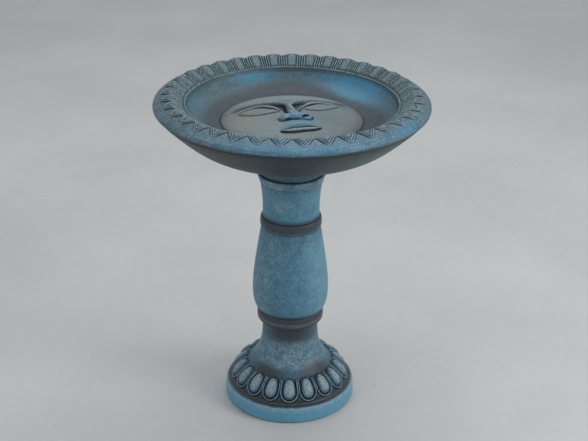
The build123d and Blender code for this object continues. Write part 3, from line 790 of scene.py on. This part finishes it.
def pan_stain(x, y, z):
    """Darker low in the dish, dark antiquing on the petals at the sides and under the lip, and a painted
    shadow line at the foot of the bead.
    """
    radius = np.hypot(x, y)
    dish = 0.85 * (1 - smoothstep(radius, 160, 208)) + arc_patches(x, y, DISH_SHADES)
    under = smoothstep(678.0 - z, 0, 3.0) * (radius > 240)
    sides = 0.5 * turn_patch(x, y, 178, 26) + 0.35 * turn_patch(x, y, 0, 22)
    petals = sides * around(radius, 224, 262, 3, 8) * (z > 680)
    # the last term is a painted shadow line at the foot of the bead
    return dish + under + petals + 0.5 * around(radius, 212, 214.5, 3, 1)


def pan_bright(x, y, z):
    """Blue patches up the wall of the dish and along the lip."""
    radius = np.hypot(x, y)
    front = 0.06 + 0.72 * turn_patch(x, y, -97, 26) + 0.6 * turn_patch(x, y, -47, 5)
    lip = front * (0.5 * smoothstep(radius, 246, 252) + 0.5 * smoothstep(radius, 262, 269)) * (z > 676)
    return arc_patches(x, y, DISH_BLUES) * (radius < DISH_EDGE) + lip


def pan_dust(x, y, z):
    """Pale bloom along the front of the lip, on the front petals and on the bead."""
    radius, turn = np.hypot(x, y), np.arctan2(y, x)
    waver = 2.2 * np.sin(5 * turn) + 1.2 * np.sin(23 * turn + 1.0)
    streak = 0.5 + 0.5 * np.sin(1.5 * radius + 0.8 * z + waver)
    lip = (0.1 + 0.75 * streak) * turn_patch(x, y, -95, 50) * smoothstep(radius, 250, 262) * (z > 674)
    petals = 0.5 * turn_patch(x, y, -92, 52) * around(radius, 224, 262, 3, 6) * (z > 680)
    return np.maximum(lip, petals) + 0.7 * around(radius, 215.5, 218.5, 1, 1) * (z > 679)


def face_patches(x, y, patches):
    """Several soft patches of the face, added up."""
    return sum(share * hump(x - at, y - up, wide, tall) for share, at, up, wide, tall in patches)


def upper_lip(x, y, from_parting, from_crest):
    """Share of the front of the upper lip between two soft edges, and the place along the mouth."""
    v, share, crest, part = mouth_lines(x, y)[1:5]
    start, end = (part + offset for offset in from_parting)
    fade, gone = (crest + offset for offset in from_crest)
    return smoothstep(v, start, end) * (1 - smoothstep(v, fade, gone)) * (share < 1), share


def face_bright(x, y, z):
    """Bluer nose, and teal between the nose and the parting of the lips."""
    lip, share = upper_lip(x, y, (-1, 1), (1, 7))
    return face_patches(x, y, FACE_BLUES) + 0.85 * lip * (1 - share**14)


def face_stain(x, y, z):
    """Darker towards the disc's edge, and painted shade under the brows, on one cheek and on the front of
    the upper lip, kept off the pale lids.
    """
    radius = np.hypot(x, y)
    edge = 0.45 * smoothstep(radius, 114, 146) + 0.7 * smoothstep(radius, 142, 146)
    # painted shade on the front of the upper lip, which faces away from the light
    lip = upper_lip(x, y, (-0.5, 1), (-3, 0))[0]
    cheek = face_patches(x, y, FACE_SHADES)
    lids = face_eyes(x, y)[2]
    return (edge + 0.34 * lip + 0.95 * brow_shade(x, y) + cheek) * (1 - lids)


def face_olive(x, y, z):
    """Warm, dull bloom on the outer cheeks and the forehead."""
    return face_patches(x, y, FACE_OLIVES) * (1 - smoothstep(np.hypot(x, y), 130, 144))


def underside_stain(x, y, z):
    """Dark antiquing with painted shade on the flare of the bowl, darker up under the rim and thinner at
    the right.
    """
    return 0.25 + 0.75 * smoothstep(z, 560, 600) - 0.45 * turn_patch(x, y, -45, 26)


def underside_bright(x, y, z):
    """A little blue on the foot ring."""
    return 0.2 * (1 - smoothstep(z, 545, 580))


def underside_dust(x, y, z):
    """Pale bloom at the right of the flare and just above the foot ring."""
    flare = 0.45 * turn_patch(x, y, -48, 24) * around(z, 580, 640, 25, 20)
    return flare + 0.3 * around(z, 548, 566, 3, 12)


# ------------------------------------------------------------------ materials

MIX_A, MIX_B, MIX_RESULT = 6, 7, 2  # the colour sockets of a Mix node


class Shader:
    """A material and short ways to add nodes to it."""

    def __init__(self, name):
        self.material = bpy.data.materials.new(name)
        self.material.use_nodes = True
        self.tree = self.material.node_tree
        self.surface = self.tree.nodes["Principled BSDF"]
        self.place = self.tree.nodes.new("ShaderNodeTexCoord").outputs["Object"]

    def link(self, source, target):
        """Feed a socket from another socket or a plain value."""
        if isinstance(source, bpy.types.NodeSocket):
            self.tree.links.new(source, target)
        else:
            target.default_value = source

    def noise(self, scale, detail=4.0, rough=0.55, stretch=None):
        """Fractal noise over the object's own coordinates."""
        node = self.tree.nodes.new("ShaderNodeTexNoise")
        node.inputs["Scale"].default_value = scale
        node.inputs["Detail"].default_value = detail
        node.inputs["Roughness"].default_value = rough
        place = self.place
        if stretch:
            mapping = self.tree.nodes.new("ShaderNodeMapping")
            mapping.inputs["Scale"].default_value = stretch
            self.link(place, mapping.inputs["Vector"])
            place = mapping.outputs["Vector"]
        self.link(place, node.inputs["Vector"])
        return node.outputs["Fac"]

    def attribute(self, name):
        """A per-vertex value."""
        node = self.tree.nodes.new("ShaderNodeAttribute")
        node.attribute_name = name
        return node.outputs["Fac"]

    def zone(self, name, texture, low, high, thin, full):
        """A painted zone, between thin where a texture is low and full where it is high."""
        return self.math("MULTIPLY", self.attribute(name), self.range(texture, low, high, thin, full))

    def math(self, operation, a, b):
        """One arithmetic step."""
        node = self.tree.nodes.new("ShaderNodeMath")
        node.operation = operation
        self.link(a, node.inputs[0])
        self.link(b, node.inputs[1])
        return node.outputs[0]

    def range(self, value, low, high, to_low=0.0, to_high=1.0):
        """Stretch a value from one range to another, with a smooth, clamped climb."""
        node = self.tree.nodes.new("ShaderNodeMapRange")
        node.interpolation_type = "SMOOTHSTEP"
        self.link(value, node.inputs["Value"])
        limits = {"From Min": low, "From Max": high, "To Min": to_low, "To Max": to_high}
        for key, number in limits.items():
            self.link(number, node.inputs[key])
        return node.outputs["Result"]

    def mix(self, share, a, b):
        """Blend two colours."""
        node = self.tree.nodes.new("ShaderNodeMix")
        node.data_type = "RGBA"
        self.link(share, node.inputs["Factor"])
        self.link(a, node.inputs[MIX_A])
        self.link(b, node.inputs[MIX_B])
        return node.outputs[MIX_RESULT]

    def bump(self, height, distance, strength, under=None):
        """Bump from a height, over another bump."""
        node = self.tree.nodes.new("ShaderNodeBump")
        node.inputs["Distance"].default_value = distance
        node.inputs["Strength"].default_value = strength
        self.link(height, node.inputs["Height"])
        if under is not None:
            self.link(under, node.inputs["Normal"])
        return node.outputs["Normal"]

    def finish(self, colour, roughness, normal, specular=0.5, metallic=0.0):
        """Wire the surface and give back the material."""
        self.link(colour, self.surface.inputs["Base Color"])
        self.link(roughness, self.surface.inputs["Roughness"])
        self.link(normal, self.surface.inputs["Normal"])
        self.link(specular, self.surface.inputs["Specular IOR Level"])
        self.link(metallic, self.surface.inputs["Metallic"])
        return self.material


def rgb(red, green, blue):
    """Linear colour with full alpha."""
    return (red, green, blue, 1.0)


INK_AND_SHADE = rgb(0.011, 0.017, 0.022)
WASH_AND_SHADE = rgb(0.030, 0.033, 0.040)
CLEAN_BLUE = rgb(0.075, 0.215, 0.300)
RUBBED_AND_HIGHLIGHT = rgb(0.26, 0.34, 0.38)
DUST = rgb(0.25, 0.33, 0.37)
FLECK = rgb(0.24, 0.33, 0.37)
OLIVE = rgb(0.20, 0.20, 0.155)
SHEEN_TINT = rgb(0.62, 0.80, 0.90)


# scale of each noise, from the broadest clouds to the finest grain
CLOUD, BLOTCH, SPECKLE, GRAIN = 11, 55, 230, 620


def patina(name, dark, middle, light, sheen=0.0, wash_and_shade=WASH_AND_SHADE, clean=CLEAN_BLUE, rubbed_and_highlight=RUBBED_AND_HIGHLIGHT):
    """Weathered painted casting: mottled colour, dark antiquing with painted shade in hollows and dark
    lines, pale edge wear with painted highlights.
    """
    s = Shader(name)
    cloud, blotch = s.noise(CLOUD, 3), s.noise(BLOTCH, 5, 0.62)
    speckle, grain = s.noise(SPECKLE, 4, 0.7), s.noise(GRAIN, 3, 0.7)
    mottle = s.math("ADD", s.math("MULTIPLY", blotch, 0.28), s.math("MULTIPLY", speckle, 0.42))
    mottle = s.math("ADD", mottle, s.math("MULTIPLY", grain, 0.30))
    colour = s.mix(s.range(mottle, 0.40, 0.58), dark, middle)
    light_share = s.math("MULTIPLY", s.range(mottle, 0.50, 0.64), s.range(cloud, 0.36, 0.66, 0.4, 1.0))
    colour = s.mix(light_share, colour, light)
    colour = s.mix(s.zone("bright", mottle, 0.36, 0.60, 0.70, 1.0), colour, clean)
    # darker patches from the painted zones, both antiquing and painted shade, broken up by blotches
    ragged = s.math("ADD", s.attribute("stain"), s.math("MULTIPLY", s.math("SUBTRACT", blotch, 0.5), 0.7))
    stain = s.math("MULTIPLY", s.range(ragged, 0.12, 0.95), s.range(speckle, 0.30, 0.60, 0.78, 0.97))
    colour = s.mix(stain, colour, wash_and_shade)
    # near-black in hollows and along the dark lines: antiquing, with painted shade
    hollow = s.zone("hollow", blotch, 0.25, 0.6, 0.75, 1.0)
    colour = s.mix(hollow, colour, INK_AND_SHADE)
    # pale on raised edges and ridges: edge wear, with painted highlights
    colour = s.mix(s.zone("worn", speckle, 0.36, 0.62, 0.15, 0.8), colour, rubbed_and_highlight)
    colour = s.mix(s.zone("dust", mottle, 0.44, 0.60, 0.1, 0.85), colour, DUST)
    colour = s.mix(s.zone("olive", blotch, 0.3, 0.6, 0.4, 0.9), colour, OLIVE)
    colour = s.mix(s.range(grain, 0.66, 0.74, 0.0, 0.5), colour, FLECK)
    s.surface.inputs["Sheen Weight"].default_value = sheen
    s.surface.inputs["Sheen Roughness"].default_value = 0.45
    s.surface.inputs["Sheen Tint"].default_value = SHEEN_TINT
    coarse = s.bump(blotch, 0.0012, 0.35)
    fine = s.bump(speckle, 0.0006, 0.45, coarse)
    normal = s.bump(grain, 0.0003, 0.35, fine)
    roughness = s.range(mottle, 0.35, 0.65, 0.42, 0.62)
    # hollows and dark lines reflect less: painted shade on the reflections
    shine = s.math("SUBTRACT", 0.5, s.math("MULTIPLY", hollow, 0.46))  # hollows are dull
    return s.finish(colour, roughness, normal, specular=shine)


def moulded(name, dark, light, grain_size, roughness):
    """Moulded nylon or rubber: a fine, slightly uneven skin."""
    s = Shader(name)
    cloud, grain = s.noise(35, 3), s.noise(grain_size, 4, 0.6)
    colour = s.mix(s.range(cloud, 0.35, 0.65), dark, light)
    colour = s.mix(s.range(grain, 0.55, 0.75, 0.0, 0.3), colour, rgb(*(3 * c for c in light[:3])))
    shine = s.range(grain, 0.3, 0.7, roughness - 0.08, roughness + 0.08)
    return s.finish(colour, shine, s.bump(grain, 0.0002, 0.4), specular=0.4)


BRUSHING = (1.0, 9.0, 1.0)
STEEL_DARK = rgb(0.42, 0.42, 0.43)
STEEL_LIGHT = rgb(0.62, 0.62, 0.63)


def screw_steel(name):
    """Brushed stainless steel."""
    s = Shader(name)
    brushed = s.noise(300, 3, 0.6, stretch=BRUSHING)
    colour = s.mix(s.range(brushed, 0.35, 0.65), STEEL_DARK, STEEL_LIGHT)
    shine = s.range(brushed, 0.3, 0.7, 0.28, 0.42)
    return s.finish(colour, shine, s.bump(brushed, 0.0001, 0.3), metallic=1.0)


FLOOR_DARK = rgb(0.50, 0.50, 0.49)
FLOOR_LIGHT = rgb(0.56, 0.56, 0.55)
FLOOR_GRIT = rgb(0.62, 0.62, 0.61)


def pale_floor():
    """Plain pale ground with the faintest mottling."""
    s = Shader("pale_floor")
    cloud, grain = s.noise(1.6, 4), s.noise(60, 5, 0.65)
    colour = s.mix(s.range(cloud, 0.3, 0.7), FLOOR_DARK, FLOOR_LIGHT)
    colour = s.mix(s.range(grain, 0.45, 0.7, 0.0, 0.25), colour, FLOOR_GRIT)
    return s.finish(colour, 0.85, s.bump(grain, 0.0006, 0.3), specular=0.2)


# ------------------------------------------------------------------ pieces

column_patina = patina(
    "column_patina", rgb(0.031, 0.094, 0.136), rgb(0.064, 0.180, 0.258), rgb(0.155, 0.315, 0.410),
    sheen=0.12, wash_and_shade=rgb(0.024, 0.029, 0.036), clean=rgb(0.105, 0.320, 0.450),
)
basin_patina = patina(
    "basin_patina", rgb(0.034, 0.070, 0.088), rgb(0.072, 0.135, 0.160), rgb(0.165, 0.250, 0.285),
    wash_and_shade=rgb(0.018, 0.031, 0.039), clean=rgb(0.048, 0.220, 0.355), rubbed_and_highlight=rgb(0.36, 0.46, 0.50),
)
dark_patina = patina(
    "dark_patina", rgb(0.030, 0.060, 0.078), rgb(0.055, 0.105, 0.132), rgb(0.105, 0.175, 0.205),
    wash_and_shade=rgb(0.022, 0.033, 0.041),
)
face_patina = patina(
    "face_patina", rgb(0.105, 0.140, 0.148), rgb(0.145, 0.185, 0.190), rgb(0.205, 0.245, 0.255),
    clean=rgb(0.052, 0.180, 0.270),
)


def dress(piece, material, body, slot, *nodes):
    """Give a sculpted piece its material and body, and hide the CAD nodes it stands for; the slot argument
    is not used.
    """
    piece.data.materials.append(material)
    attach(piece, body)
    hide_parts(*nodes)


column = make_pedestal()
paint(column, stain=pedestal_stain, bright=pedestal_bright, dust=pedestal_dust)
dress(column, column_patina, "pedestal", "pedestal", "pedestal")

rim_and_dish = make_pan()
paint(rim_and_dish, stain=pan_stain, bright=pan_bright, dust=pan_dust)
dress(rim_and_dish, basin_patina, "basin", "basin_pan", "basin_pan")

relief_face = make_face()
paint(relief_face, stain=face_stain, bright=face_bright, olive=face_olive)
dress(relief_face, face_patina, "basin", "basin_pan", "basin_pan")

underside = make_shell()
paint(underside, stain=underside_stain, bright=underside_bright, dust=underside_dust)
dress(underside, dark_patina, "basin", "basin_shell", "basin_shell")

NYLON = (rgb(0.018, 0.018, 0.019), rgb(0.034, 0.034, 0.035), 600, 0.42)
FITTINGS = {
    "base_plate": moulded("plate_plastic", rgb(0.016, 0.016, 0.018), rgb(0.028, 0.028, 0.030), 500, 0.5),
    "ballast_plug": moulded("plug_rubber", rgb(0.010, 0.010, 0.010), rgb(0.020, 0.020, 0.020), 700, 0.75),
    "foot_pads": moulded("pad_rubber", rgb(0.012, 0.012, 0.012), rgb(0.022, 0.022, 0.022), 700, 0.8),
    "seat_ring": moulded("seat_rubber", rgb(0.011, 0.011, 0.012), rgb(0.020, 0.020, 0.021), 700, 0.7),
    "lock_socket": moulded("socket_nylon", *NYLON),
    "lock_spigot": moulded("spigot_nylon", *NYLON),
    "socket_screws": screw_steel("socket_steel"),
    "spigot_screws": screw_steel("spigot_steel"),
    "base_plate_screws": screw_steel("plate_steel"),
}
for node_name, finish in FITTINGS.items():
    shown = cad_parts[node_name]
    shown.data.materials.clear()
    shown.data.materials.append(finish)

# ------------------------------------------------------------------ floor, light and camera

# from here on, lengths are in metres and powers in watts
FLOOR_HALF = 40.0
SQUARE = [(-1, -1), (1, -1), (1, 1), (-1, 1)]
MIDDLE = (0.0, 0.0, 0.45)  # what the lights aim at
WHITE = (1.0, 1.0, 1.0)
SKY = (0.90, 0.95, 1.0, 1.0)
SKY_STRENGTH = 0.55

floor_mesh = bpy.data.meshes.new("floor")
corners = [(FLOOR_HALF * x, FLOOR_HALF * y, 0) for x, y in SQUARE]
floor_mesh.from_pydata(corners, [], [(0, 1, 2, 3)])
floor = bpy.data.objects.new("floor", floor_mesh)
floor.data.materials.append(pale_floor())
bpy.context.scene.collection.objects.link(floor)


def softbox(name, place, size, power, colour):
    """A square area light at a place, turned to the middle of the bath."""
    lamp = bpy.data.lights.new(name, "AREA")
    lamp.size = size
    lamp.energy = power
    lamp.color = colour
    made = bpy.data.objects.new(name, lamp)
    made.location = place
    made.rotation_euler = (Vector(MIDDLE) - Vector(place)).to_track_quat("-Z", "Y").to_euler()
    bpy.context.scene.collection.objects.link(made)


softbox("overhead", (0.2, 1.2, 3.0), size=2.2, power=30, colour=(0.97, 0.99, 1.0))
softbox("key", (2.4, -1.5, 1.9), size=1.4, power=42, colour=WHITE)
softbox("fill", (-2.4, -1.6, 1.2), size=1.6, power=9, colour=(0.94, 0.97, 1.0))

world = bpy.data.worlds.new("studio")
world.use_nodes = True
background = world.node_tree.nodes["Background"]
background.inputs["Color"].default_value = SKY
background.inputs["Strength"].default_value = SKY_STRENGTH
bpy.context.scene.world = world
bpy.context.scene.view_settings.view_transform = "Standard"

CAMERA_LENS = 78.7  # mm
CAMERA_BACK = 2.441
CAMERA_UP = 1.572
CAMERA_PITCH = 25.35  # this and the angles below are in degrees
CAMERA_ROUND = -10.0
CAMERA_YAW = -0.147
CAMERA_ROLL = 0.617


def rotation(degrees, axis):
    """Rotation matrix about one axis."""
    return Matrix.Rotation(math.radians(degrees), 4, axis)


camera = bpy.data.objects.new("camera", bpy.data.cameras.new("camera"))
camera.data.lens = CAMERA_LENS
stand = rotation(CAMERA_ROUND, "Z") @ Matrix.Translation((0, -CAMERA_BACK, CAMERA_UP))
view = rotation(CAMERA_YAW, "Z") @ rotation(90 - CAMERA_PITCH, "X") @ rotation(CAMERA_ROLL, "Z")
camera.matrix_world = stand @ view
bpy.context.scene.collection.objects.link(camera)
bpy.context.scene.camera = camera
